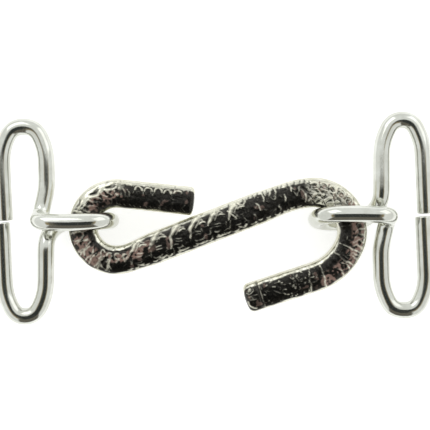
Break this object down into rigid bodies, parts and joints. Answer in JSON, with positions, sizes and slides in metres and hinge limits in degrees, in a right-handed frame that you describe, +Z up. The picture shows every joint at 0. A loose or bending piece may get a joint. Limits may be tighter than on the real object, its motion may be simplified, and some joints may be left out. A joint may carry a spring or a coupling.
{
  "type": "strap clasp",
  "caption": "S-shaped hook clasp that joins two bent-wire strap loops end to end, with one curl closed around its loop and one left open to hook on and off.",
  "frame": {"origin": "middle of the clasp's box, on the surface that it lies on", "axes": "+X along the straps towards the loop on the open curl, Y across the straps, +Z up, out of the strap plane"},
  "size_m": [0.0838, 0.0406, 0.0129],
  "materials": {
    "antique_nickel": "hammered and engraved, darkened in the grooves, bright on the ridges",
    "bright_nickel_wire": "polished nickel plate"
  },
  "bodies": {
    "hook": {"s_hook": "antique_nickel"},
    "left": {"left_loop": "bright_nickel_wire"},
    "right": {"right_loop": "bright_nickel_wire"}
  },
  "joints": [
    {"name": "left_flap", "type": "hinge", "parent": "hook", "child": "left", "pos_m": [-0.0245, -0.001, 0.00645], "axis": [0, 1, 0], "range_deg": [-110, 110]},
    {"name": "right_flap", "type": "hinge", "parent": "hook", "child": "right", "pos_m": [0.0256, 0.0005, 0.00645], "axis": [-0.2756, 0.9613, 0], "range_deg": [-95, 95]}
  ]
}
